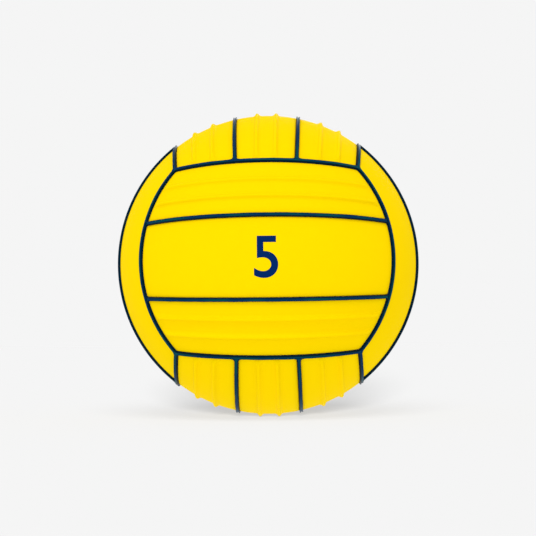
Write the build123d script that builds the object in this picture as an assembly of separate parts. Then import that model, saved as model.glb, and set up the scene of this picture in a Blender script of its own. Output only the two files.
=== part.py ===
from build123d import *
from math import asin, atan, atan2, cos, hypot, pi, radians, sin, sqrt, tan
import os

# Water polo ball: a bladder with its valve, wound and lined, under a moulded cover of eighteen
# panels with raised seam strips between them. Millimetres, the origin at the ball's centre,
# +Z up, the face with the plain middle panel at -Y and the valve at +Y.

# Wall, from the outside in
ball_girth = 695.0             # round the bare panels, size 5
cover_thickness = 1.2
carcass_thickness = 0.3
winding_thickness = 0.3
bladder_thickness = 0.6

# Panel layout: six faces of three strips each
fan_distance = 380.0           # a face's seam planes fan out from a line this far behind the centre
front_middle_width = 57.5      # middle strip over the surface, between the middles of its seams
top_middle_width = 46.5
side_middle_width = 48.5
panel_edge_radius = 0.6

# Seam strips: two round lips with a shallow groove between them
seam_width = 2.4
seam_height = 1.7              # lips above the panels
lip_radius = 0.4
groove_depth = 0.4

# Grip ribs, two along each ribbed strip
rib_spacing_share = 0.3        # of the strip's width
front_rib_shift = 1.2          # from the strip's middle towards the face's, front and back
rib_width = 7.0
rib_height = 2.05
rib_tip_radius = 1.3
rib_root = 0.5                 # how deep a rib is sunk into its panel
rib_end_slope = 18.0           # degrees, where a rib runs down to the seam at its end

# Valve: a housing bonded into the bladder, and the core pressed into it
valve_neck_radius = 4.2
valve_recess = 0.3             # neck and core below the panel's surface
valve_hole_clearance = 0.15    # round the neck, in the panel alone
valve_flange_radius = 16.0
valve_flange_thickness = 1.2
valve_stem_radius = 5.5
valve_stem_length = 15.0       # inside the bladder
core_radius = 3.0
core_bulb_radius = 4.0         # the stop at the core's inner end
core_bulb_length = 4.0
needle_bore_radius = 1.2
needle_bore_length = 11.0
needle_mouth = 0.6             # chamfer that leads the needle in

# Radii of the layers, and the corner of the six faces
radius = ball_girth / (2 * pi)
carcass_radius = radius - cover_thickness
winding_radius = carcass_radius - carcass_thickness
bladder_radius = winding_radius - winding_thickness
air_radius = bladder_radius - bladder_thickness
corner = radius / sqrt(3)

# Reach of the construction bodies past what is kept of them
sweep_half_angle = 60.0
tool_depth = cover_thickness + 1.0
tool_height = rib_height + seam_height + 1.0

CENTRE = (0, 0, 0)


# A face is modelled facing +Z: x along its strips, y across them. Its seams and ribs are circles
# on the ball, each in a plane that holds the x direction and the fan line behind the ball.

def fan_slope(angle):
    """Slope y over z of the fan plane that meets the ball at this angle from the face's middle."""
    return radius * sin(angle) / (radius * cos(angle) + fan_distance)


def fan_plane(slope):
    return Plane(origin=(0, 0, -fan_distance), x_dir=(1, 0, 0), z_dir=(0, 1, -slope))


edge_slope = corner / (corner + fan_distance)
edge_tilt = atan(edge_slope)
edge_angle = edge_tilt + asin(fan_distance * sin(edge_tilt) / radius)


def sweep(profile, angle):
    """Turn a profile along the circle at this angle; it is drawn at (across, height)."""
    across = Plane(
        origin=(0, radius * sin(angle), radius * cos(angle)),
        x_dir=(0, cos(angle), -sin(angle)),
        z_dir=(1, 0, 0),
    )
    axis = Axis(CENTRE, (0, 1, -fan_slope(angle)))
    start = (across * profile).rotate(axis, -sweep_half_angle)
    return revolve(start, axis, 2 * sweep_half_angle)


def height_on(sphere_radius, across):
    """Height over the panels, in a profile, of a sphere about the ball's centre."""
    return sqrt(sphere_radius**2 - across**2) - radius


def mirrored_face(top, right_side, bottom_middle):
    """A profile from the edges of its top and right side, closed below by an arc through a point."""
    left_side = [edge.mirror(Plane.YZ) for edge in right_side]
    foot = right_side[-1] @ 1
    floor = ThreePointArc((foot.X, foot.Y), bottom_middle, (-foot.X, foot.Y))
    return make_face(top + right_side + left_side + [floor])


def seam_profile():
    """Two round lips, with straight slopes from them down to the middle of the groove."""
    half = seam_width / 2
    lip_middle = half - lip_radius
    lip_foot = seam_height - lip_radius
    groove_floor = seam_height - groove_depth
    rise = lip_foot - groove_floor
    climb = atan2(rise, lip_middle) + asin(lip_radius / hypot(rise, lip_middle))
    touch = (lip_middle - lip_radius * sin(climb), lip_foot + lip_radius * cos(climb))
    slope = Line((0, groove_floor), touch)
    lip = TangentArc(touch, (half, lip_foot), tangent=(cos(climb), sin(climb)))
    wall = Line((half, lip_foot), (half, height_on(carcass_radius, half)))
    return mirrored_face([], [slope, lip, wall], (0, -cover_thickness))


def rib_profile():
    """A round crest that runs out into the panel in a hollow curve on each side."""
    half = rib_width / 2
    foot = height_on(radius, half)
    rise = rib_height - foot
    hollow_radius = (half**2 + rise**2) / (2 * rise) - rib_tip_radius
    share = rib_tip_radius / (rib_tip_radius + hollow_radius)
    crest_centre = Vector(0, rib_height - rib_tip_radius)
    hollow_centre = Vector(half, foot + hollow_radius)
    turn = crest_centre + (hollow_centre - crest_centre) * share
    crest = ThreePointArc((-turn.X, turn.Y), (0, rib_height), (turn.X, turn.Y))
    hollow = TangentArc((half, foot), (turn.X, turn.Y), tangent=(-1, 0))
    side = Line((half, foot), (half, foot - rib_root))
    return mirrored_face([crest], [hollow, side], (0, -rib_root))


def wall_profile():
    """What a seam strip takes up between its walls, and clear above and below it."""
    return Rectangle(seam_width, tool_depth + tool_height, align=(Align.CENTER, Align.MIN)).moved(
        Location((0, -tool_depth))
    )


def channel_profile():
    """What a seam clears of the cover: its walls, the round panel edges, the slope of rib ends."""
    half = seam_width / 2
    shoulder = half + panel_edge_radius
    rim = shoulder + tool_height / tan(radians(rib_end_slope))
    wall = Line((half, -tool_depth), (half, -panel_edge_radius))
    edge = TangentArc((half, -panel_edge_radius), (shoulder, 0), tangent=(0, 1))
    slope = Line((shoulder, 0), (rim, tool_height))
    right = [wall, edge, slope]
    left = [piece.mirror(Plane.YZ) for piece in right]
    floor = Line((-half, -tool_depth), (half, -tool_depth))
    roof = Line((-rim, tool_height), (rim, tool_height))
    return make_face(right + left + [floor, roof])


def half_turn(shape):
    return shape.rotate(Axis.Z, 180)


def at_end(shape):
    """Turn something of the face's own long edge into the neighbour's, across the end of the strips."""
    return shape.rotate(Axis(CENTRE, (1, 1, 1)), 120)


def end_plane(side):
    return Plane(
        origin=(-side * fan_distance, 0, 0), x_dir=(0, 1, 0), z_dir=(-side * edge_slope, 0, 1)
    )


def one_solid(shape):
    solids = shape.solids()
    if len(solids) != 1:
        raise ValueError(f"expected one solid, found {len(solids)}")
    return solids[0]


def edge_seam():
    """Seam strip along the face's edge at +y, mitred where three of them meet at each corner."""
    strip = sweep(seam_profile(), edge_angle)
    for side in (1, -1):
        corner_axis = Axis(CENTRE, (side, 1, 1))
        own_way = Vector(0, 1, -edge_slope).cross(corner_axis.direction) * -side
        for turn in (120, 240):
            other_way = own_way.rotate(corner_axis, turn)
            mitre = Plane(origin=CENTRE, z_dir=own_way - other_way)
            strip = strip.split(mitre, keep=Keep.TOP)
    return one_solid(strip)


def divider_seam(angle):
    """Seam strip between two strips of the face, from one end seam's wall to the other's."""
    strip = sweep(seam_profile(), angle)
    end_wall = at_end(sweep(wall_profile(), edge_angle))
    for side, wall in ((1, end_wall), (-1, half_turn(end_wall))):
        strip = strip.split(end_plane(side), keep=Keep.TOP)
        strip = strip - wall
    return one_solid(strip)


def cover_blank():
    """Bare cover over the face and past its edges."""
    reach = sweep_half_angle
    outer = CenterArc((0, 0), radius, 90 - reach, 2 * reach)
    inner = CenterArc((0, 0), carcass_radius, 90 - reach, 2 * reach)
    section = make_face([outer, inner, Line(outer @ 0, inner @ 0), Line(outer @ 1, inner @ 1)])
    start = (Plane.XZ * section).rotate(Axis.X, -reach)
    return revolve(start, Axis.X, 2 * reach)


def panel(low, high, rib_shift):
    """Panel between the seams at two angles; its ribs lie about a line this far from its middle."""
    body = cover_blank()
    if rib_shift is not None:
        middle = (low + high) / 2 + rib_shift / radius
        half_spacing = rib_spacing_share * (high - low) / 2
        for angle in (middle - half_spacing, middle + half_spacing):
            body = body + sweep(rib_profile(), angle)
    end_channel = at_end(sweep(channel_profile(), edge_angle))
    for side, channel in ((1, end_channel), (-1, half_turn(end_channel))):
        body = body.split(end_plane(side), keep=Keep.TOP)
        body = body - channel
    for angle, keep in ((low, Keep.TOP), (high, Keep.BOTTOM)):
        body = body.split(fan_plane(fan_slope(angle)), keep=keep)
        body = body - sweep(channel_profile(), angle)
    return one_solid(body)


def face_pieces(middle_width, rib_shifts):
    """The three panels and two dividers of a face, from -y to +y."""
    divider_angle = middle_width / 2 / radius
    seams = [-edge_angle, -divider_angle, divider_angle, edge_angle]
    panels = [panel(low, high, shift) for low, high, shift in zip(seams, seams[1:], rib_shifts)]
    dividers = [divider_seam(-divider_angle), divider_seam(divider_angle)]
    return panels, dividers


def shell(outer_radius, inner_radius):
    """A layer under the cover, with the hole that the valve's neck fills."""
    return one_solid(Sphere(outer_radius) - Sphere(inner_radius) - valve_hole(valve_neck_radius))


def valve_hole(hole_radius):
    hole_length = radius - air_radius + 2 * valve_flange_thickness + tool_height
    start = Plane(origin=(0, air_radius - 2 * valve_flange_thickness, 0), z_dir=(0, 1, 0))
    return start * Cylinder(hole_radius, hole_length, align=(Align.CENTER, Align.CENTER, Align.MIN))


# The valve is turned about +Y from sections drawn at (distance from the axis, distance from the centre)
valve_top = radius - valve_recess
stem_end = air_radius - valve_stem_length


def on_sphere(sphere_radius, from_axis):
    return (from_axis, sqrt(sphere_radius**2 - from_axis**2))


def sphere_arc(sphere_radius, start, end):
    return RadiusArc(on_sphere(sphere_radius, start), on_sphere(sphere_radius, end), sphere_radius)


def turned_about_y(edges):
    return one_solid(revolve(make_face(edges), Axis.Y, 360))


def valve_housing():
    flange_under = air_radius - valve_flange_thickness
    seat = sphere_arc(air_radius, valve_neck_radius, valve_flange_radius)
    under = sphere_arc(flange_under, valve_stem_radius, valve_flange_radius)
    outline = Polyline(
        under @ 0,
        (valve_stem_radius, stem_end),
        (core_radius, stem_end),
        (core_radius, valve_top),
        (valve_neck_radius, valve_top),
        seat @ 0,
    )
    rim = Line(seat @ 1, under @ 1)
    return turned_about_y([seat, rim, under, outline])


def valve_core():
    bore_floor = valve_top - needle_mouth - needle_bore_length
    bulb_end = stem_end - core_bulb_length
    bulb = ThreePointArc(
        (core_bulb_radius, stem_end),
        (core_bulb_radius * sin(pi / 4), stem_end - core_bulb_length * sin(pi / 4)),
        (0, bulb_end),
    )
    outline = Polyline(
        (0, bulb_end),
        (0, bore_floor),
        (needle_bore_radius, bore_floor),
        (needle_bore_radius, valve_top - needle_mouth),
        (needle_bore_radius + needle_mouth, valve_top),
        (core_radius, valve_top),
        (core_radius, stem_end),
        (core_bulb_radius, stem_end),
    )
    return turned_about_y([bulb, outline])


# The six faces: name, way out, way along the strips, the sides that its outer strips lie at
# (across the strips, first the one on the left of the way along), middle width, and how far each
# strip's ribs are shifted across it, where it has ribs
OUTER_RIBS = (front_rib_shift, None, -front_rib_shift)
ALL_RIBS = (0, 0, 0)
NO_RIBS = (None, None, None)
FACES = [
    ("front", (0, -1, 0), (1, 0, 0), ("lower", "upper"), front_middle_width, OUTER_RIBS),
    ("back", (0, 1, 0), (-1, 0, 0), ("lower", "upper"), front_middle_width, OUTER_RIBS),
    ("right", (1, 0, 0), (0, 0, 1), ("back", "front"), side_middle_width, NO_RIBS),
    ("left", (-1, 0, 0), (0, 0, 1), ("front", "back"), side_middle_width, NO_RIBS),
    ("top", (0, 0, 1), (0, 1, 0), ("right", "left"), top_middle_width, ALL_RIBS),
    ("bottom", (0, 0, -1), (0, 1, 0), ("left", "right"), top_middle_width, ALL_RIBS),
]


def cover():
    """Every panel and seam strip, by node name."""
    nodes = {}
    high_seam = edge_seam()
    edge_seams = [half_turn(high_seam), high_seam]
    made = {}
    for name, outward, along, sides, middle_width, rib_shifts in FACES:
        if (middle_width, rib_shifts) not in made:
            made[middle_width, rib_shifts] = face_pieces(middle_width, rib_shifts)
        panels, dividers = made[middle_width, rib_shifts]
        place = Plane(origin=CENTRE, x_dir=along, z_dir=outward).location
        low, high = sides
        for strip, piece in zip((low, "middle", high), panels):
            nodes[f"panel_{name}_{strip}"] = place * piece
        for side, piece in zip(sides, edge_seams):
            nodes[f"seam_{name}_{side}"] = place * piece
        for side, piece in zip(sides, dividers):
            nodes[f"divider_{name}_{side}"] = place * piece
    hole = valve_hole(valve_neck_radius + valve_hole_clearance)
    nodes["panel_back_middle"] = one_solid(nodes["panel_back_middle"] - hole)
    return nodes


def ball():
    nodes = cover()
    nodes["carcass"] = shell(carcass_radius, winding_radius)
    nodes["thread_winding"] = shell(winding_radius, bladder_radius)
    nodes["bladder"] = shell(bladder_radius, air_radius)
    nodes["valve_housing"] = valve_housing()
    nodes["valve_core"] = valve_core()
    return nodes


os.makedirs("parts", exist_ok=True)
for node_name, solid in ball().items():
    export_step(solid, f"parts/{node_name}.step")
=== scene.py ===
import math

import bmesh
import bpy
from mathutils import Matrix, Vector


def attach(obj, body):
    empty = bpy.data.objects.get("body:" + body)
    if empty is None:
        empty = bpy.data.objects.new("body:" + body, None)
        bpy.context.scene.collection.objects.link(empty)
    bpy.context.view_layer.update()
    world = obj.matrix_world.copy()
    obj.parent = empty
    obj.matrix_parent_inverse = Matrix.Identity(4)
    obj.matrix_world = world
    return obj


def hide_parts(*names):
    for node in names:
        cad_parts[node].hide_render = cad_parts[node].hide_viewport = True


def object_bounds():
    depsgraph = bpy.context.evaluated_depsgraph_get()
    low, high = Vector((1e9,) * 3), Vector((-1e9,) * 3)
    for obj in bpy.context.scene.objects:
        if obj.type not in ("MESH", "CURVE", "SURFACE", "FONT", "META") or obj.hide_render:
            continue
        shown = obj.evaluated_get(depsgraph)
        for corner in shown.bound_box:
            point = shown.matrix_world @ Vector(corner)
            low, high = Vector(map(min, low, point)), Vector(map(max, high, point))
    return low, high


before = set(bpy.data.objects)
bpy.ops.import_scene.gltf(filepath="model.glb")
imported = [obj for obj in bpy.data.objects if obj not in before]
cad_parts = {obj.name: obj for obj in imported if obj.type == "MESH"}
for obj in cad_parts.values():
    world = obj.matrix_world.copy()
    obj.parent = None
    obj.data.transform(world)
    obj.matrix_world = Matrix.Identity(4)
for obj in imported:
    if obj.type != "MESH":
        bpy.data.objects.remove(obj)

# Water polo ball: ribbed yellow panels parted by raised navy seam strips, with the valve at the back.
# Metres, the origin at the ball's centre, +Z up, the plain front panel at -Y and the valve at +Y.

CAD_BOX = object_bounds()
SCENE = bpy.context.scene
MM = 0.001

# Sizes of the ball: those of its solids, and those of the fine forms that only the scene has
BALL_RADIUS = 695.0 * MM / (2 * math.pi)
COVER = 1.2 * MM
FAN = 380.0 * MM / BALL_RADIUS      # how far behind the centre a face's seam planes meet, in ball radii
FRONT_MIDDLE = 57.5 * MM            # middle strips, over the surface between the middles of their seams
TOP_MIDDLE = 46.5 * MM
SIDE_MIDDLE = 48.5 * MM
PANEL_EDGE = 0.6 * MM
SEAM_WIDTH = 2.4 * MM
SEAM_HEIGHT = 1.7 * MM
LIP_RADIUS = 0.3 * MM               # thinner lips and a deeper groove than the solids have
GROOVE_DEPTH = 0.7 * MM
GROOVE_FLOOR = [(0.0, 0.06 * MM), (0.22 * MM, 0.11 * MM)]   # points: from its middle, rise over its depth
WALL_HEIGHTS = (0.3 * MM, -0.4 * MM, -COVER)                # of the points down a strip's wall
EDGE_FILLET = 5.0 * MM              # rubber gathered in the corners where three edge seams meet
EDGE_TURN = math.radians(30)        # how far that fillet's arc turns up to the mitre
EDGE_REACH = math.sin(EDGE_TURN) * EDGE_FILLET
DIVIDER_FILLET = 2.3 * MM           # and in those where a divider ends at an edge seam
DIVIDER_REACH = DIVIDER_FILLET
SEAM_NOISE = 9.0                    # how often the strips vary along their run
SEAM_WANDER = 0.22                  # how much the strips' width varies, as a share of it
SEAM_DRIFT = 0.2                    # how far they stray sideways, as a share of their width
STEADY_END = 8.0 * MM               # length at each end over which they don't stray
RIB_SPACING_SHARE = 0.3             # of the strip's width
FRONT_RIB_SHIFT = 1.2 * MM          # from the strip's middle towards the face's, front and back
RIB_WIDTH = 7.0 * MM
RIB_HEIGHT = 2.05 * MM
RIB_TIP = 1.3 * MM
RIB_END_RISE = math.tan(math.radians(18.0))
RIB_END_SOFT = 0.35 * MM            # rounding where a rib starts to run down
LEAST_RISE = 0.1 * MM               # stands in for a rib's height on a panel without ribs
VALVE_HOLE = 4.35 * MM
PRINT_HEIGHT = 29.0 * MM            # size number on the front panel
PRINT_THICKNESS = 0.06 * MM
PRINT_BOLDER = 0.4 * MM             # how far the figure's outline is moved out
FIGURE_SHARE = 0.73                 # a figure's height, as a share of the font's size

# How fine the meshes are
PANEL_STEP = 3.2 * MM
SEAM_STEP = 2.4 * MM
PRINT_STEP = 1.6 * MM
FILLET_STEPS = 12
LIP_STEPS = 8
HOLE_RINGS = (1.15, 1.35, 1.6, 2.0)     # rings of points round the valve hole, in its radii
SMOOTH_ANGLE = math.radians(50)

# Faces: name, way out, way along the strips, the sides its outer strips lie at, width of the middle strip,
# and how far each strip's ribs are shifted across it, where it has ribs
OUTER_RIBS = (FRONT_RIB_SHIFT, None, -FRONT_RIB_SHIFT)
ALL_RIBS = (0, 0, 0)
NO_RIBS = (None, None, None)
FACES = [
    ("front", (0, -1, 0), (1, 0, 0), ("lower", "upper"), FRONT_MIDDLE, OUTER_RIBS),
    ("back", (0, 1, 0), (-1, 0, 0), ("lower", "upper"), FRONT_MIDDLE, OUTER_RIBS),
    ("right", (1, 0, 0), (0, 0, 1), ("back", "front"), SIDE_MIDDLE, NO_RIBS),
    ("left", (-1, 0, 0), (0, 0, 1), ("front", "back"), SIDE_MIDDLE, NO_RIBS),
    ("top", (0, 0, 1), (0, 1, 0), ("right", "left"), TOP_MIDDLE, ALL_RIBS),
    ("bottom", (0, 0, -1), (0, 1, 0), ("left", "right"), TOP_MIDDLE, ALL_RIBS),
]

FLOAT = "NodeSocketFloat"
VECTOR = "NodeSocketVector"
GEOMETRY = "NodeSocketGeometry"
MATERIAL = "NodeSocketMaterial"


# Node trees are written as formulas: arithmetic on a Field adds the nodes that work it out.

class Field:
    """A value in a node tree."""

    def __init__(self, tree, socket):
        self.tree = tree
        self.socket = socket

    def __add__(self, other):
        return worked_out("ADD", self, other)

    def __radd__(self, other):
        return worked_out("ADD", other, self)

    def __sub__(self, other):
        return worked_out("SUBTRACT", self, other)

    def __rsub__(self, other):
        return worked_out("SUBTRACT", other, self)

    def __mul__(self, other):
        return worked_out("MULTIPLY", self, other)

    def __rmul__(self, other):
        return worked_out("MULTIPLY", other, self)

    def __truediv__(self, other):
        return worked_out("DIVIDE", self, other)

    def __lt__(self, other):
        return worked_out("LESS_THAN", self, other)

    def __gt__(self, other):
        return worked_out("GREATER_THAN", self, other)


def join(tree, value, socket):
    """Link a field to a socket, or set the socket to a plain value."""
    if isinstance(value, Field):
        tree.links.new(value.socket, socket)
    else:
        socket.default_value = value


def worked_out(operation, *values):
    tree = next(value.tree for value in values if isinstance(value, Field))
    node = tree.nodes.new("ShaderNodeMath")
    node.operation = operation
    for value, socket in zip(values, node.inputs):
        join(tree, value, socket)
    return Field(tree, node.outputs[0])


def sine(angle):
    return worked_out("SINE", angle)


def cosine(angle):
    return worked_out("COSINE", angle)


def arc_cosine(value):
    return worked_out("ARCCOSINE", value)


def root(value):
    return worked_out("SQRT", value)


def size_of(value):
    return worked_out("ABSOLUTE", value)


def least(first, second):
    return worked_out("MINIMUM", first, second)


def most(first, second):
    return worked_out("MAXIMUM", first, second)


def between(low, high, share):
    return low + (high - low) * share


def add_node(tree, kind, inputs=(), **settings):
    """A node with its settings made and its inputs, by name or number, joined."""
    node = tree.nodes.new(kind)
    for name, value in settings.items():
        setattr(node, name, value)
    for name, value in dict(inputs).items():
        join(tree, value, node.inputs[name])
    return node


def output(node, name=0):
    return Field(node.id_data, node.outputs[name])


def parts_of(vector):
    node = add_node(vector.tree, "ShaderNodeSeparateXYZ", {0: vector})
    return [output(node, axis) for axis in "XYZ"]


# Numbers of the Mix node's sockets for each kind of value: first, second, result
MIX_SOCKETS = {"VECTOR": (4, 5, 1), "RGBA": (6, 7, 2)}


def mixed(tree, kind, share, first, second):
    """Mix two vectors or two colours."""
    first_socket, second_socket, result = MIX_SOCKETS[kind]
    node = add_node(
        tree, "ShaderNodeMix",
        {0: share, first_socket: first, second_socket: second},
        data_type=kind,
    )
    return output(node, result)


def new_group(kind, name, inputs, outputs):
    """A node group, its inputs as fields by name, and the sockets that take its results."""
    tree = bpy.data.node_groups.new(name, kind)
    for label, socket_type in inputs.items():
        tree.interface.new_socket(label, in_out="INPUT", socket_type=socket_type)
    for label, socket_type in outputs.items():
        tree.interface.new_socket(label, in_out="OUTPUT", socket_type=socket_type)
    entry = tree.nodes.new("NodeGroupInput")
    results = tree.nodes.new("NodeGroupOutput")
    fields = {label: output(entry, label) for label in inputs}
    return tree, fields, results.inputs


def place_group(tree, group, inputs):
    """Place a node group in a tree of the same kind."""
    kind = "ShaderNodeGroup" if tree.bl_idname == "ShaderNodeTree" else "GeometryNodeGroup"
    return add_node(tree, kind, inputs, node_tree=group)


# Layout of a face, seen facing +Z on a ball of radius 1: x along its strips, y across them

def fan_slope(angle):
    """Slope y over z of the seam plane that meets the ball at this angle from the face's middle."""
    return math.sin(angle) / (math.cos(angle) + FAN)


def ring_offset(slope, beside=0.0):
    """Offset c of the plane y = slope z + c that holds the circle this far beside a seam's middle."""
    tilt = math.hypot(1, slope)
    polar = math.acos(slope * FAN / tilt)
    return math.cos(polar - beside / BALL_RADIUS) * tilt


CORNER = 1 / math.sqrt(3)
EDGE_SLOPE = CORNER / (CORNER + FAN)
EDGE_TILT = math.atan(EDGE_SLOPE)
EDGE_ANGLE = EDGE_TILT + math.asin(FAN * math.sin(EDGE_TILT))
HALF_SEAM = SEAM_WIDTH / 2
END_NORMAL = Vector((-EDGE_SLOPE, 0, 1)).normalized()
END_OFFSET = ring_offset(EDGE_SLOPE, HALF_SEAM) / math.hypot(1, EDGE_SLOPE)


def half_length(slope, offset):
    """From the middle of a strip's row to its end wall, over the surface."""
    tilt = math.hypot(1, slope)
    lift = offset / tilt
    ring = math.sqrt(1 - lift * lift)
    reach = Vector((END_NORMAL.z / tilt, END_NORMAL.x)) * ring
    need = END_OFFSET + lift * slope * END_NORMAL.z / tilt
    turn = math.atan2(reach.y, reach.x) + math.acos(need / reach.length)
    return turn * ring * BALL_RADIUS


def mitre_normals():
    """Planes through the centre that part three seam strips at a corner: on the low and high side of one."""
    corner = Vector((1, 1, 1)).normalized()
    own_way = corner.cross(Vector((0, 1, -EDGE_SLOPE)))
    parts = []
    for turn in (120, 240):
        other_way = Matrix.Rotation(math.radians(turn), 3, corner) @ own_way
        parts.append((own_way - other_way).normalized())
    return sorted(parts, key=lambda normal: normal.y, reverse=True)


# Geometry nodes

STRIP_INPUTS = {
    "Low Slope": FLOAT, "Low Offset": FLOAT, "High Slope": FLOAT, "High Offset": FLOAT,
    "Low End": VECTOR, "High End": VECTOR, "End Offset": FLOAT,
}


def strip_on_ball():
    """Where a point of a flat strip lies on the ball of radius 1.

    Along runs from -1 to 1 between the strip's ends, Across from 0 to 1 between its sides.
    """
    tree, strip, placed = new_group(
        "GeometryNodeTree",
        "strip on ball",
        {"Along": FLOAT, "Across": FLOAT, **STRIP_INPUTS},
        {"Direction": VECTOR, "From End": FLOAT},
    )
    along = strip["Along"]
    across = strip["Across"]
    slope = between(strip["Low Slope"], strip["High Slope"], across)
    tilt = root(slope * slope + 1)
    lift = between(strip["Low Offset"], strip["High Offset"], across) / tilt
    ring = root(1 - lift * lift)
    end = mixed(tree, "VECTOR", across > 0.5, strip["Low End"], strip["High End"])
    end_x, end_y, end_z = parts_of(end)
    reach_up = ring * (end_y * slope + end_z) / tilt
    reach_along = ring * end_x
    need = strip["End Offset"] - lift * (end_y - slope * end_z) / tilt
    reach = root(reach_up * reach_up + reach_along * reach_along)
    end_turn = worked_out("ARCTAN2", reach_along, reach_up) + arc_cosine(need / reach)
    turn = along * end_turn
    forward = ring * cosine(turn)
    direction = add_node(
        tree, "ShaderNodeCombineXYZ",
        {
            "X": ring * sine(turn),
            "Y": (lift + slope * forward) / tilt,
            "Z": (forward - slope * lift) / tilt,
        },
    )
    join(tree, output(direction), placed["Direction"])
    join(tree, (1 - size_of(along)) * end_turn * ring, placed["From End"])
    return tree


STRIP_ON_BALL = strip_on_ball()


def place_strip(tree, sizes, along, across):
    """Place the strip group in a tree, fed from the tree's own inputs of the same names."""
    inputs = {name: sizes[name] for name in STRIP_INPUTS}
    return place_group(tree, STRIP_ON_BALL, {"Along": along, "Across": across, **inputs})


def set_out(tree, sizes, direction, height, marks, result):
    """Mark the flat blank's points, move them out to their height over the ball, and hand over plain mesh."""
    shape = sizes["Geometry"]
    for name, value in marks.items():
        marked = add_node(
            tree, "GeometryNodeStoreNamedAttribute",
            {"Geometry": shape, "Name": name, "Value": value},
            data_type="FLOAT", domain="POINT",
        )
        shape = output(marked)
    reach = add_node(
        tree, "ShaderNodeVectorMath",
        {0: direction, "Scale": sizes["Radius"] + height},
        operation="SCALE",
    )
    moved = add_node(
        tree, "GeometryNodeSetPosition",
        {"Geometry": shape, "Position": output(reach)},
    )
    plain = add_node(tree, "GeometryNodeRealizeInstances", {"Geometry": output(moved)})
    finished = add_node(
        tree, "GeometryNodeSetMaterial",
        {"Geometry": output(plain), "Material": sizes["Material"]},
    )
    join(tree, output(finished), result["Geometry"])


def panel_tree():
    """Lays a flat blank on the ball as a cover panel: rolled edges, and two grip ribs along it."""
    tree, sizes, result = new_group(
        "GeometryNodeTree",
        "cover panel",
        {
            "Geometry": GEOMETRY, "Radius": FLOAT, "Thickness": FLOAT, "Edge Radius": FLOAT,
            **STRIP_INPUTS,
            "Rib Height": FLOAT, "Rib Width": FLOAT, "Rib Tip": FLOAT, "Rib End Rise": FLOAT,
            "First Rib Slope": FLOAT, "First Rib Offset": FLOAT,
            "Second Rib Slope": FLOAT, "Second Rib Offset": FLOAT,
            "Material": MATERIAL,
        },
        {"Geometry": GEOMETRY},
    )
    radius = sizes["Radius"]
    along, across, layer = parts_of(output(add_node(tree, "GeometryNodeInputPosition")))
    direction = output(place_strip(tree, sizes, along, across), "Direction")
    x, y, z = parts_of(direction)

    def beside(slope, offset):
        """Distance over the surface from the circle in the plane y = slope z + offset, towards +y."""
        tilt = root(slope * slope + 1)
        return radius * (arc_cosine(offset / tilt) - arc_cosine((y - slope * z) / tilt))

    end_x, end_z = parts_of(sizes["High End"])[::2]
    from_low = beside(sizes["Low Slope"], sizes["Low Offset"])
    from_high = 0 - beside(sizes["High Slope"], sizes["High Offset"])
    from_end = radius * (
        arc_cosine(sizes["End Offset"]) - arc_cosine(z * end_z + size_of(x) * end_x)
    )
    from_wall = most(least(least(from_low, from_high), from_end), 0)
    edge = sizes["Edge Radius"]
    inside_edge = most(edge - from_wall, 0)
    rolled = root(most(edge * edge - inside_edge * inside_edge, 0)) - edge

    half = sizes["Rib Width"] / 2
    rise = sizes["Rib Height"]
    tip = sizes["Rib Tip"]
    hollow = (half * half + rise * rise) / (2 * most(rise, LEAST_RISE)) - tip
    turn_over = half * tip / (tip + hollow)

    def rib_section(offset):
        """A round crest that runs out into the panel in a hollow curve on each side."""
        out = least(size_of(offset), half)
        crest = rise - tip + root(most(tip * tip - out * out, 0))
        rest = half - out
        flank = hollow - root(most(hollow * hollow - rest * rest, 0))
        return between(flank, crest, out < turn_over) * (rise > 0)

    first = rib_section(beside(sizes["First Rib Slope"], sizes["First Rib Offset"]))
    second = rib_section(beside(sizes["Second Rib Slope"], sizes["Second Rib Offset"]))
    run_down = most((from_end - edge) * sizes["Rib End Rise"], 0)
    ribs = worked_out("SMOOTH_MIN", first + second, run_down, RIB_END_SOFT)
    height = between(0 - sizes["Thickness"], rolled + most(ribs, 0), layer > -0.5)
    marks = {
        "seam_gap": from_wall / MM,
        "rib": most(ribs, 0) / most(rise, LEAST_RISE),
    }
    set_out(tree, sizes, direction, height, marks, result)
    return tree


def seam_tree():
    """Lays a straight seam strip on the ball, gathered a little wider where it meets other seams."""
    tree, sizes, result = new_group(
        "GeometryNodeTree",
        "seam strip",
        {
            "Geometry": GEOMETRY, "Radius": FLOAT, "Width": FLOAT, "Fillet": FLOAT, "Fillet Reach": FLOAT,
            "Wander": FLOAT, "Drift": FLOAT, "Steady End": FLOAT,
            **STRIP_INPUTS,
            "Material": MATERIAL,
        },
        {"Geometry": GEOMETRY},
    )
    along, across, height = parts_of(output(add_node(tree, "GeometryNodeInputPosition")))
    straight = place_strip(tree, sizes, along, across)
    from_end = output(straight, "From End") * sizes["Radius"]
    fillet = sizes["Fillet"]
    into = most(sizes["Fillet Reach"] - from_end, 0)
    gather = fillet - root(most(fillet * fillet - into * into, 0))
    noise = add_node(
        tree, "ShaderNodeTexNoise",
        {"Vector": output(straight, "Direction"), "Scale": SEAM_NOISE, "Detail": 1.0},
    )
    wider, aside = parts_of(output(noise, "Color"))[:2]
    wander = (wider - 0.5) * sizes["Wander"]
    drift = (aside - 0.5) * sizes["Drift"] * least(from_end / sizes["Steady End"], 1)
    spread = across + (across - 0.5) * (wander + 2 * gather / sizes["Width"]) + drift
    direction = output(place_strip(tree, sizes, along, spread), "Direction")
    set_out(tree, sizes, direction, height, {"from_middle": size_of(across - 0.5) * 2}, result)
    return tree


# Flat blanks that the trees lay on the ball

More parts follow.
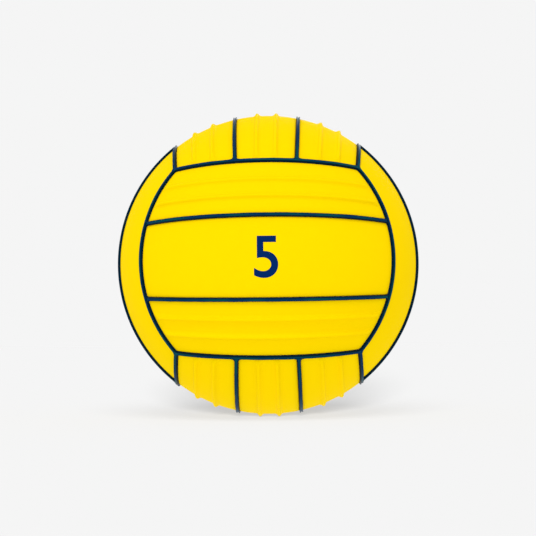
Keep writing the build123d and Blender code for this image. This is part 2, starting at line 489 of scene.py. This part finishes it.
def stations(length, marks, step):
    """Places from 0 to length: the marks, with others between them so that no step is longer than step."""
    places = sorted({round(mark, 7) for mark in marks if 0 < mark < length} | {0.0, length})
    filled = [0.0]
    for start, stop in zip(places, places[1:]):
        pieces = math.ceil((stop - start) / step)
        filled += [start + (stop - start) * piece / pieces for piece in range(1, pieces + 1)]
    return filled


EDGE_MARKS = [PANEL_EDGE * (1 - math.cos(math.radians(angle))) for angle in (20, 36, 50, 64, 78, 90)]
RIB_RUN = RIB_HEIGHT / RIB_END_RISE
RIB_END_MARKS = [PANEL_EDGE + RIB_RUN * step / 8 for step in range(1, 11)]
RIB_MARKS = [RIB_WIDTH / 2 * step / 10 for step in range(11)]


def panel_blank(name, length, width, rib_middles, hole=0.0):
    """Closed slab, x from -1 to 1 along it, y from 0 to 1 across it, z 0 on top and -1 underneath."""
    end_marks = EDGE_MARKS + (RIB_END_MARKS if rib_middles else [])
    along_marks = end_marks + [length - mark for mark in end_marks]
    across_marks = EDGE_MARKS + [width - mark for mark in EDGE_MARKS]
    for middle in rib_middles:
        across_marks += [middle + side * mark for mark in RIB_MARKS for side in (-1, 1)]
    if hole:
        ring_marks = [hole * step / 4 for step in range(-4, 5)]
        ring_marks += [side * hole * grow for grow in HOLE_RINGS for side in (-1, 1)]
        along_marks += [length / 2 + mark for mark in ring_marks]
        across_marks += [width / 2 + mark for mark in ring_marks]
    columns = [place - length / 2 for place in stations(length, along_marks, PANEL_STEP)]
    rows = [place - width / 2 for place in stations(width, across_marks, PANEL_STEP)]

    def rounded(x, y):
        """Draw the square rings about the middle into circles round the hole."""
        ring = max(abs(x), abs(y))
        outermost = HOLE_RINGS[-1] * hole
        if ring >= outermost or ring == 0:
            return x, y
        grow = ring / math.hypot(x, y)
        share = min(1, (outermost - ring) / hole)
        return x * (1 + (grow - 1) * share), y * (1 + (grow - 1) * share)

    slab = bmesh.new()
    layers = []
    for z in (0, -1):
        grid = []
        for y in rows:
            spots = [rounded(x, y) for x in columns]
            grid.append([slab.verts.new((u / length * 2, v / width + 0.5, z)) for u, v in spots])
        layers.append(grid)
    top, under = layers
    below = {}
    for top_row, under_row in zip(top, under):
        below.update(zip(top_row, under_row))
    for row in range(len(rows) - 1):
        for column in range(len(columns) - 1):
            middle = Vector((columns[column] + columns[column + 1], rows[row] + rows[row + 1])) / 2
            if hole and max(abs(middle.x), abs(middle.y)) < hole:
                continue
            corners = [
                top[row][column], top[row][column + 1], top[row + 1][column + 1], top[row + 1][column]
            ]
            slab.faces.new(corners)
            slab.faces.new([below[corner] for corner in reversed(corners)])
    rim = [edge for edge in slab.edges if edge.is_boundary and edge.verts[0] in below]
    for edge in rim:
        first, second = edge.verts
        slab.faces.new([first, second, below[second], below[first]])
    loose = [vert for vert in slab.verts if not vert.link_faces]
    bmesh.ops.delete(slab, geom=loose, context="VERTS")
    return finished_blank(name, slab)


def seam_section():
    """Half of a seam strip's section, from the groove's middle out: (from the middle, height)."""
    half = HALF_SEAM
    lip_middle = half - LIP_RADIUS
    lip_foot = SEAM_HEIGHT - LIP_RADIUS
    groove = SEAM_HEIGHT - GROOVE_DEPTH
    rise = lip_foot - groove
    climb = math.atan2(rise, lip_middle) + math.asin(LIP_RADIUS / math.hypot(rise, lip_middle))
    section = [(across, groove + lift) for across, lift in GROOVE_FLOOR]
    for step in range(LIP_STEPS + 1):
        angle = math.pi / 2 + climb - (math.pi / 2 + climb) * step / LIP_STEPS
        section.append((
            lip_middle + LIP_RADIUS * math.cos(angle), lip_foot + LIP_RADIUS * math.sin(angle)
        ))
    return section + [(half, height) for height in WALL_HEIGHTS]


def seam_blank(name, length, fillet_reach):
    """Closed bar, x from -1 to 1 along it, y from 0 to 1 across it, z its height over the panels."""
    right = seam_section()
    outline = right + [(-across, height) for across, height in reversed(right) if across]
    end_marks = [fillet_reach * step / FILLET_STEPS for step in range(FILLET_STEPS + 1)]
    marks = end_marks + [length - mark for mark in end_marks]
    bar = bmesh.new()
    loops = []
    for place in stations(length, marks, SEAM_STEP):
        x = place / length * 2 - 1
        loops.append([
            bar.verts.new((x, across / SEAM_WIDTH + 0.5, height)) for across, height in outline
        ])
    for first, second in zip(loops, loops[1:]):
        for index in range(len(outline)):
            bar.faces.new([first[index - 1], first[index], second[index], second[index - 1]])
    bar.faces.new(loops[0])
    bar.faces.new(loops[-1])
    return finished_blank(name, bar)


def finished_blank(name, shape):
    bmesh.ops.recalc_face_normals(shape, faces=shape.faces)
    mesh = bpy.data.meshes.new(name)
    shape.to_mesh(mesh)
    shape.free()
    return mesh


def laid_out(name, blank, tree, sizes, turned):
    """Run a blank through a tree and return the result as a plain mesh object, turned to its face."""
    piece = bpy.data.objects.new(name, blank)
    SCENE.collection.objects.link(piece)
    modifier = piece.modifiers.new(tree.name, "NODES")
    modifier.node_group = tree
    for socket in tree.interface.items_tree:
        if socket.in_out == "INPUT" and socket.name in sizes:
            modifier[socket.identifier] = sizes[socket.name]
    depsgraph = bpy.context.evaluated_depsgraph_get()
    mesh = bpy.data.meshes.new_from_object(piece.evaluated_get(depsgraph))
    piece.modifiers.remove(modifier)
    piece.data = mesh
    mesh.name = name
    mesh.transform(turned.to_4x4())
    mesh.shade_smooth()
    mesh.set_sharp_from_angle(angle=SMOOTH_ANGLE)
    return piece


def hand_in(piece, slot, *nodes):
    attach(piece, "root")
    if nodes:
        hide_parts(*nodes)


# Materials

YELLOW_DARK = (1.0, 0.683, 0.0, 1)
YELLOW_LIGHT = (1.0, 0.712, 0.0, 1)
YELLOW_SEAM_SHADE = (1.0, 0.48, 0.0, 1)   # painted shade: a darker orange at a panel's walls, beside the seams
SEAM_SHADE_SHARE = 0.3                     # share of that painted shade there
SEAM_SHADE_REACH = 1.4               # how far in the painted shade comes, in millimetres
NAVY_DARK = (0.0, 0.030, 0.094, 1)
NAVY_LIGHT = (0.002, 0.040, 0.124, 1)
NAVY_TEAL = (0.001, 0.068, 0.096, 1)
# painted shade: the near-black navy that the strips' lips are given
NAVY_LIP_SHADE = (0.0, 0.014, 0.036, 1)
TEAL_SCALE = 38.0                   # how often the teal patches come
TEAL_EDGES = (0.38, 0.62)           # noise values between which they fade in
LIP_EDGES = (0.45, 0.75)            # shares of a strip's half width between which its lip, painted dark as shade, begins
NAVY_SHEEN = 0.045                  # coat on a strip's groove, seen at a flat angle
INK_DARK = (0.0, 0.016, 0.104, 1)
INK_LIGHT = (0.0, 0.022, 0.134, 1)
YARN_STRANDS = 4200.0               # radians of the strands' wave in a metre
YARN_PATCHES = 40.0                 # how often the way of the top layer changes


def moulded_grain():
    """Fine pebble and soft ripple that a matt mould leaves in rubber."""
    tree, grain, result = new_group(
        "ShaderNodeTree",
        "moulded grain",
        {"Position": VECTOR, "Pebble Scale": FLOAT, "Ripple Scale": FLOAT},
        {"Height": FLOAT, "Ripple": FLOAT},
    )
    pebble = add_node(
        tree, "ShaderNodeTexVoronoi",
        {"Vector": grain["Position"], "Scale": grain["Pebble Scale"], "Randomness": 0.9},
        feature="SMOOTH_F1",
    )
    ripple = add_node(
        tree, "ShaderNodeTexNoise",
        {"Vector": grain["Position"], "Scale": grain["Ripple Scale"], "Detail": 3.0, "Roughness": 0.55},
    )
    height = output(pebble, "Distance") * 0.6 + output(ripple, 0) * 0.4
    join(tree, height, result["Height"])
    join(tree, output(ripple, 0), result["Ripple"])
    return tree


def new_material(name):
    material = bpy.data.materials.new(name)
    material.use_nodes = True
    tree = material.node_tree
    shader = tree.nodes["Principled BSDF"]
    place = output(add_node(tree, "ShaderNodeTexCoord"), "Object")
    return material, tree, shader, place


def attribute(tree, name):
    return output(add_node(tree, "ShaderNodeAttribute", attribute_name=name), "Fac")


def smooth_step(value, low, high):
    node = add_node(
        value.tree, "ShaderNodeMapRange", {"Value": value, "From Min": low, "From Max": high},
        interpolation_type="SMOOTHSTEP",
    )
    return output(node)


def bumped(tree, height, strength, depth):
    return output(add_node(
        tree, "ShaderNodeBump", {"Strength": strength, "Distance": depth, "Height": height}
    ))


MOULDED_GRAIN = moulded_grain()


def yellow_rubber():
    material, tree, shader, place = new_material("yellow moulded rubber")
    grain = place_group(
        tree, MOULDED_GRAIN, {"Position": place, "Pebble Scale": 1500.0, "Ripple Scale": 160.0}
    )
    ripple = output(grain, "Ripple")
    # Painted shade: the yellow turns darker orange near the seam walls, where the seams shade it
    painted_seam_shade = 1 - least(attribute(tree, "seam_gap") / SEAM_SHADE_REACH, 1)
    colour = mixed(tree, "RGBA", ripple, YELLOW_DARK, YELLOW_LIGHT)
    colour = mixed(tree, "RGBA", painted_seam_shade * SEAM_SHADE_SHARE, colour, YELLOW_SEAM_SHADE)
    roughness = 0.55 + ripple * 0.15 - attribute(tree, "rib") * 0.1
    normal = bumped(tree, output(grain, "Height"), strength=0.12, depth=0.3 * MM)
    join(tree, colour, shader.inputs["Base Color"])
    join(tree, roughness, shader.inputs["Roughness"])
    join(tree, normal, shader.inputs["Normal"])
    shader.inputs["Specular IOR Level"].default_value = 0.005
    return material


def navy_rubber():
    material, tree, shader, place = new_material("navy seam rubber")
    grain = place_group(
        tree, MOULDED_GRAIN, {"Position": place, "Pebble Scale": 2600.0, "Ripple Scale": 240.0}
    )
    ripple = output(grain, "Ripple")
    lip = smooth_step(attribute(tree, "from_middle"), *LIP_EDGES)
    patches = add_node(tree, "ShaderNodeTexNoise", {"Vector": place, "Scale": TEAL_SCALE, "Detail": 1.0})
    teal = smooth_step(output(patches, 0), *TEAL_EDGES)
    colour = mixed(tree, "RGBA", ripple, NAVY_DARK, NAVY_LIGHT)
    colour = mixed(tree, "RGBA", teal, colour, NAVY_TEAL)
    # Painted shade: the lips are made near black, standing for the shade at a strip's edges
    colour = mixed(tree, "RGBA", lip, colour, NAVY_LIP_SHADE)
    roughness = 0.26 + ripple * 0.16
    normal = bumped(tree, output(grain, "Height"), strength=0.15, depth=0.2 * MM)
    facing = output(add_node(tree, "ShaderNodeLayerWeight", {"Blend": 0.5}), "Facing")
    sheen = facing * facing * (1 - lip) * NAVY_SHEEN
    join(tree, colour, shader.inputs["Base Color"])
    join(tree, roughness, shader.inputs["Roughness"])
    join(tree, normal, shader.inputs["Normal"])
    join(tree, sheen, shader.inputs["Coat Weight"])
    shader.inputs["Coat Roughness"].default_value = 0.2
    shader.inputs["Specular IOR Level"].default_value = 0.015
    return material


def wound_yarn():
    """Yarn wound in three ways over each other, round the ball's centre."""
    tree, yarn, result = new_group(
        "ShaderNodeTree",
        "wound yarn",
        {"Position": VECTOR, "Strands": FLOAT},
        {"Height": FLOAT, "Shade": FLOAT},
    )
    x, y, z = parts_of(yarn["Position"])
    strands = yarn["Strands"]
    level = sine(z * strands)
    rising = sine((x * 0.8 + z * 0.6) * strands)
    falling = sine((y * 0.8 - z * 0.6) * strands)
    patches = add_node(
        tree, "ShaderNodeTexNoise",
        {"Vector": yarn["Position"], "Scale": YARN_PATCHES, "Detail": 1.0},
    )
    crossing = smooth_step(output(patches, 0), 0.45, 0.55)
    height = between(most(level, rising * 0.8), most(falling, level * 0.7), crossing)
    join(tree, height * 0.5 + 0.5, result["Height"])
    # Shade: painted shade, darker where the yarn lies lower between the strands
    join(tree, smooth_step(height, -0.6, 0.6), result["Shade"])
    return tree


WOUND_YARN = wound_yarn()


def yarn_finish(name, dark, light, roughness, depth):
    material, tree, shader, place = new_material(name)
    yarn = place_group(tree, WOUND_YARN, {"Position": place, "Strands": YARN_STRANDS})
    shade = output(yarn, "Shade")
    normal = bumped(tree, output(yarn, "Height"), strength=0.6, depth=depth)
    # Painted shade: the dark colour where the yarn lies low, the light one on its tops
    join(tree, mixed(tree, "RGBA", shade, dark, light), shader.inputs["Base Color"])
    join(tree, roughness - shade * 0.15, shader.inputs["Roughness"])
    join(tree, normal, shader.inputs["Normal"])
    return material


def plain_rubber(name, dark, light, roughness):
    material, tree, shader, place = new_material(name)
    grain = place_group(
        tree, MOULDED_GRAIN, {"Position": place, "Pebble Scale": 1800.0, "Ripple Scale": 300.0}
    )
    ripple = output(grain, "Ripple")
    normal = bumped(tree, output(grain, "Height"), strength=0.2, depth=0.3 * MM)
    join(tree, mixed(tree, "RGBA", ripple, dark, light), shader.inputs["Base Color"])
    join(tree, roughness + ripple * 0.2, shader.inputs["Roughness"])
    join(tree, normal, shader.inputs["Normal"])
    return material


def navy_ink():
    material, tree, shader, place = new_material("navy printing ink")
    grain = place_group(
        tree, MOULDED_GRAIN, {"Position": place, "Pebble Scale": 1500.0, "Ripple Scale": 260.0}
    )
    ripple = output(grain, "Ripple")
    roughness = 0.38 + ripple * 0.16
    normal = bumped(tree, output(grain, "Height"), strength=0.1, depth=0.3 * MM)
    join(tree, mixed(tree, "RGBA", ripple, INK_DARK, INK_LIGHT), shader.inputs["Base Color"])
    join(tree, roughness, shader.inputs["Roughness"])
    join(tree, normal, shader.inputs["Normal"])
    shader.inputs["Specular IOR Level"].default_value = 0.02
    return material


YELLOW = yellow_rubber()
NAVY = navy_rubber()
INK = navy_ink()
PANEL_TREE = panel_tree()
SEAM_TREE = seam_tree()


def face_turn(outward, along):
    out = Vector(outward)
    x = Vector(along)
    return Matrix((x, out.cross(x), out)).transposed()


def strip_sizes(low_slope, low_beside, high_slope, high_beside):
    return {
        "Radius": BALL_RADIUS,
        "Low Slope": low_slope,
        "Low Offset": ring_offset(low_slope, low_beside),
        "High Slope": high_slope,
        "High Offset": ring_offset(high_slope, high_beside),
        "Low End": END_NORMAL,
        "High End": END_NORMAL,
        "End Offset": END_OFFSET,
    }


def make_panel(name, turned, low, high, rib_shift, hole=0.0):
    ribbed = rib_shift is not None
    middle = (low + high) / 2
    rib_angles = [
        middle + (rib_shift or 0) / BALL_RADIUS + side * RIB_SPACING_SHARE * (high - low) / 2
        for side in (-1, 1)
    ]
    first, second = [fan_slope(angle) for angle in rib_angles]
    width = (high - low) * BALL_RADIUS - SEAM_WIDTH
    middle_slope = fan_slope(middle)
    length = 2 * half_length(middle_slope, ring_offset(middle_slope))
    rib_middles = [(angle - low) * BALL_RADIUS - HALF_SEAM for angle in rib_angles] if ribbed else []
    sizes = strip_sizes(fan_slope(low), HALF_SEAM, fan_slope(high), -HALF_SEAM)
    sizes.update({
        "Thickness": COVER,
        "Edge Radius": PANEL_EDGE,
        "Rib Height": RIB_HEIGHT if ribbed else 0.0,
        "Rib Width": RIB_WIDTH,
        "Rib Tip": RIB_TIP,
        "Rib End Rise": RIB_END_RISE,
        "First Rib Slope": first,
        "First Rib Offset": ring_offset(first),
        "Second Rib Slope": second,
        "Second Rib Offset": ring_offset(second),
        "Material": YELLOW,
    })
    blank = panel_blank(name, length, width, rib_middles, hole)
    return laid_out(name, blank, PANEL_TREE, sizes, turned)


def make_seam(name, turned, angle, mitred):
    slope = fan_slope(angle)
    fillet, reach = (EDGE_FILLET, EDGE_REACH) if mitred else (DIVIDER_FILLET, DIVIDER_REACH)
    sizes = strip_sizes(slope, -HALF_SEAM, slope, HALF_SEAM)
    sizes.update({
        "Width": SEAM_WIDTH,
        "Fillet": fillet,
        "Fillet Reach": reach,
        "Wander": SEAM_WANDER,
        "Drift": SEAM_DRIFT,
        "Steady End": STEADY_END,
        "Material": NAVY,
    })
    length = 2 * half_length(slope, ring_offset(slope))
    if mitred:
        low_end, high_end = mitre_normals()
        if angle < 0:
            mirrored = Vector((1, -1, 1))
            low_end, high_end = high_end * mirrored, low_end * mirrored
        sizes.update({"Low End": low_end, "High End": high_end, "End Offset": 0.0})
    return laid_out(name, seam_blank(name, length, reach), SEAM_TREE, sizes, turned)


def make_cover():
    for name, outward, along, sides, middle_width, rib_shifts in FACES:
        turned = face_turn(outward, along)
        divider = middle_width / 2 / BALL_RADIUS
        angles = [-EDGE_ANGLE, -divider, divider, EDGE_ANGLE]
        strips = (sides[0], "middle", sides[1])
        for strip, low, high, rib_shift in zip(strips, angles, angles[1:], rib_shifts):
            node = f"panel_{name}_{strip}"
            hole = VALVE_HOLE if node == "panel_back_middle" else 0.0
            panel = make_panel(f"{name}_{strip}_panel", turned, low, high, rib_shift, hole)
            hand_in(panel, "panel_rubber", node)
        for side, angle in zip(sides, (-EDGE_ANGLE, EDGE_ANGLE)):
            seam = make_seam(f"{name}_{side}_seam", turned, angle, True)
            hand_in(seam, "seam_rubber", f"seam_{name}_{side}")
        for side, angle in zip(sides, (-divider, divider)):
            seam = make_seam(f"{name}_{side}_divider", turned, angle, False)
            hand_in(seam, "seam_rubber", f"divider_{name}_{side}")


def print_tree():
    """Lays a flat film of ink on the ball, straight down onto it."""
    tree, sizes, result = new_group(
        "GeometryNodeTree", "print on ball",
        {"Geometry": GEOMETRY, "Radius": FLOAT, "Material": MATERIAL},
        {"Geometry": GEOMETRY},
    )
    x, y, height = parts_of(output(add_node(tree, "GeometryNodeInputPosition")))
    radius = sizes["Radius"]
    depth = root(radius * radius - x * x - y * y)
    spot = add_node(tree, "ShaderNodeCombineXYZ", {"X": x / radius, "Y": y / radius, "Z": depth / radius})
    set_out(tree, sizes, output(spot), height, {}, result)
    return tree


def cut_into_squares(film, step):
    """Cut a flat shape along a grid, so that it can follow the ball."""
    reach = max(max(abs(vert.co.x), abs(vert.co.y)) for vert in film.verts)
    lines = math.ceil(reach / step)
    for way in (Vector((1, 0, 0)), Vector((0, 1, 0))):
        for line in range(-lines, lines + 1):
            everything = film.verts[:] + film.edges[:] + film.faces[:]
            bmesh.ops.bisect_plane(film, geom=everything, plane_co=way * line * step, plane_no=way)


def make_size_number():
    """The size, printed as a plain figure on the front's middle panel."""
    words = bpy.data.curves.new("size", "FONT")
    words.body = "5"
    words.align_x = "CENTER"
    words.align_y = "CENTER"
    words.size = PRINT_HEIGHT / FIGURE_SHARE
    words.offset = PRINT_BOLDER
    holder = bpy.data.objects.new("size", words)
    SCENE.collection.objects.link(holder)
    depsgraph = bpy.context.evaluated_depsgraph_get()
    flat = bpy.data.meshes.new_from_object(holder.evaluated_get(depsgraph))
    bpy.data.objects.remove(holder)
    film = bmesh.new()
    film.from_mesh(flat)
    bmesh.ops.remove_doubles(film, verts=film.verts, dist=0.01 * MM)
    corners = [vert.co for vert in film.verts]
    low = Vector(min(corner[axis] for corner in corners) for axis in range(3))
    high = Vector(max(corner[axis] for corner in corners) for axis in range(3))
    for vert in film.verts:
        vert.co -= (low + high) / 2
        vert.co.z = -PRINT_THICKNESS / 2
    cut_into_squares(film, PRINT_STEP)
    raised = bmesh.ops.extrude_face_region(film, geom=film.faces[:])["geom"]
    for part in raised:
        if isinstance(part, bmesh.types.BMVert):
            part.co.z = PRINT_THICKNESS
    sizes = {"Radius": BALL_RADIUS, "Material": INK}
    outward, along = FACES[0][1:3]
    blank = finished_blank("size_number", film)
    number = laid_out("size_number", blank, print_tree(), sizes, face_turn(outward, along))
    hand_in(number, "seam_rubber")


def finish_inside():
    finishes = {
        "carcass": yarn_finish(
            "carcass rubber",
            dark=(0.03, 0.025, 0.02, 1), light=(0.06, 0.05, 0.04, 1), roughness=0.7, depth=0.1 * MM,
        ),
        "thread_winding": yarn_finish(
            "nylon yarn",
            dark=(0.3, 0.28, 0.24, 1), light=(0.7, 0.68, 0.6, 1), roughness=0.6, depth=0.4 * MM,
        ),
        "bladder": plain_rubber(
            "butyl rubber",
            dark=(0.01, 0.01, 0.011, 1), light=(0.025, 0.025, 0.027, 1), roughness=0.4,
        ),
        "valve_housing": plain_rubber(
            "valve rubber",
            dark=(0.012, 0.012, 0.013, 1), light=(0.03, 0.03, 0.03, 1), roughness=0.45,
        ),
        "valve_core": plain_rubber(
            "soft core rubber",
            dark=(0.02, 0.02, 0.022, 1), light=(0.045, 0.045, 0.046, 1), roughness=0.5,
        ),
    }
    for node, material in finishes.items():
        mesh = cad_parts[node].data
        mesh.materials.clear()
        mesh.materials.append(material)


# Studio

PHOTO_SIZE = 536
CAMERA_DISTANCE = 9.4 * BALL_RADIUS
PIXELS_PER_RADIUS = 148.1
BALL_MIDDLE = (268.5, 264.85)       # in the picture
CAMERA_YAW = math.radians(-0.84)
CAMERA_PITCH = math.radians(-2.83)
CAMERA_ROLL = math.radians(-0.55)
SENSOR = 36.0


def make_camera():
    data = bpy.data.cameras.new("camera")
    data.sensor_width = SENSOR
    data.lens = PIXELS_PER_RADIUS * CAMERA_DISTANCE / BALL_RADIUS * SENSOR / PHOTO_SIZE
    data.shift_x = (PHOTO_SIZE / 2 - BALL_MIDDLE[0]) / PHOTO_SIZE
    data.shift_y = (BALL_MIDDLE[1] - PHOTO_SIZE / 2) / PHOTO_SIZE
    camera = bpy.data.objects.new("camera", data)
    SCENE.collection.objects.link(camera)
    ball_turn = (
        Matrix.Rotation(CAMERA_ROLL, 4, "Y")
        @ Matrix.Rotation(CAMERA_PITCH, 4, "X")
        @ Matrix.Rotation(CAMERA_YAW, 4, "Z")
    )
    facing = Matrix.Translation((0, -CAMERA_DISTANCE, 0)) @ Matrix.Rotation(math.pi / 2, 4, "X")
    camera.matrix_world = ball_turn.inverted() @ facing
    SCENE.camera = camera


BACKGROUND = 0.913
SKY = 0.84                          # light from all round above
FLOOR_BOUNCE = 1.0                  # and from the floor below
# Lamps on the ball: name, level on a surface that faces it, angle, way
BALL_LAMPS = [
    ("key", 0.22, 20, Vector((0.16, 0.64, -0.77))),
    ("low key", 0.07, 30, Vector((0.2, 0.9, -0.36))),
    ("back key", 0.12, 30, Vector((-0.2, -0.9, -0.36))),
]
# Lamps that only cast the ball's shadow on the floor: name, share of the floor's brightness, angle, way
FLOOR_LAMPS = [
    ("low floor lamp", 0.23, 10, Vector((0, 0.987, -0.16))),
    ("high floor lamp", 0.13, 36, Vector((0, 0.68, -0.73))),
]
FLOOR_GLOW_SHARE = 0.57             # share of the floor's brightness that takes no shadow
FLOOR_HALF = 6.0


def make_floor():
    level = CAD_BOX[0].z
    mesh = bpy.data.meshes.new("floor")
    corners = [(x * FLOOR_HALF, y * FLOOR_HALF, level) for x, y in ((-1, -1), (1, -1), (1, 1), (-1, 1))]
    mesh.from_pydata(corners, [], [(0, 1, 2, 3)])
    floor = bpy.data.objects.new("floor", mesh)
    SCENE.collection.objects.link(floor)
    material = bpy.data.materials.new("pale floor")
    material.use_nodes = True
    tree = material.node_tree
    tree.nodes.clear()
    lamp_share = sum(lamp[1] for lamp in FLOOR_LAMPS)
    paper = BACKGROUND * (1 - lamp_share - FLOOR_GLOW_SHARE) / SKY
    matt = add_node(tree, "ShaderNodeBsdfDiffuse", {"Color": (paper, paper, paper, 1)})
    glow = add_node(tree, "ShaderNodeEmission", {"Strength": BACKGROUND * FLOOR_GLOW_SHARE})
    shaded = add_node(tree, "ShaderNodeAddShader", {0: output(matt), 1: output(glow)})
    even = add_node(tree, "ShaderNodeEmission", {"Strength": FLOOR_BOUNCE})
    path = add_node(tree, "ShaderNodeLightPath")
    seen = add_node(
        tree, "ShaderNodeMixShader",
        {0: output(path, "Is Camera Ray"), 1: output(even), 2: output(shaded)},
    )
    add_node(tree, "ShaderNodeOutputMaterial", {"Surface": output(seen)})
    mesh.materials.append(material)
    return floor, paper


def add_lamp(name, level, angle, way):
    """A distant soft lamp. A white surface that faces it gets this level from it."""
    lamp = bpy.data.lights.new(name, "SUN")
    lamp.energy = level * math.pi
    lamp.angle = math.radians(angle)
    holder = bpy.data.objects.new(name, lamp)
    SCENE.collection.objects.link(holder)
    holder.rotation_euler = way.to_track_quat("-Z", "Y").to_euler()
    return holder


def keep_light(lamp, thing, state):
    """Let a lamp light only this thing (INCLUDE), or everything but it (EXCLUDE)."""
    group = bpy.data.collections.new(lamp.name + " light")
    group.objects.link(thing)
    lamp.light_linking.receiver_collection = group
    group.collection_objects[0].light_linking.link_state = state


def make_light(floor, paper):
    for name, share, angle, way in FLOOR_LAMPS:
        level = BACKGROUND * share / paper / -way.normalized().z
        keep_light(add_lamp(name, level, angle, way), floor, "INCLUDE")
    for name, level, angle, way in BALL_LAMPS:
        keep_light(add_lamp(name, level, angle, way), floor, "EXCLUDE")
    world = bpy.data.worlds.new("studio")
    world.use_nodes = True
    SCENE.world = world
    tree = world.node_tree
    tree.nodes.clear()
    path = add_node(tree, "ShaderNodeLightPath")
    seen = most(output(path, "Is Camera Ray"), output(path, "Is Glossy Ray"))
    seen = most(seen, output(path, "Is Transmission Ray"))
    level = between(SKY, BACKGROUND, seen)
    glow = add_node(tree, "ShaderNodeBackground", {"Color": (1, 1, 1, 1), "Strength": level})
    add_node(tree, "ShaderNodeOutputWorld", {"Surface": output(glow)})


SCENE.view_settings.view_transform = "Standard"
make_cover()
make_size_number()
finish_inside()
make_camera()
make_light(*make_floor())
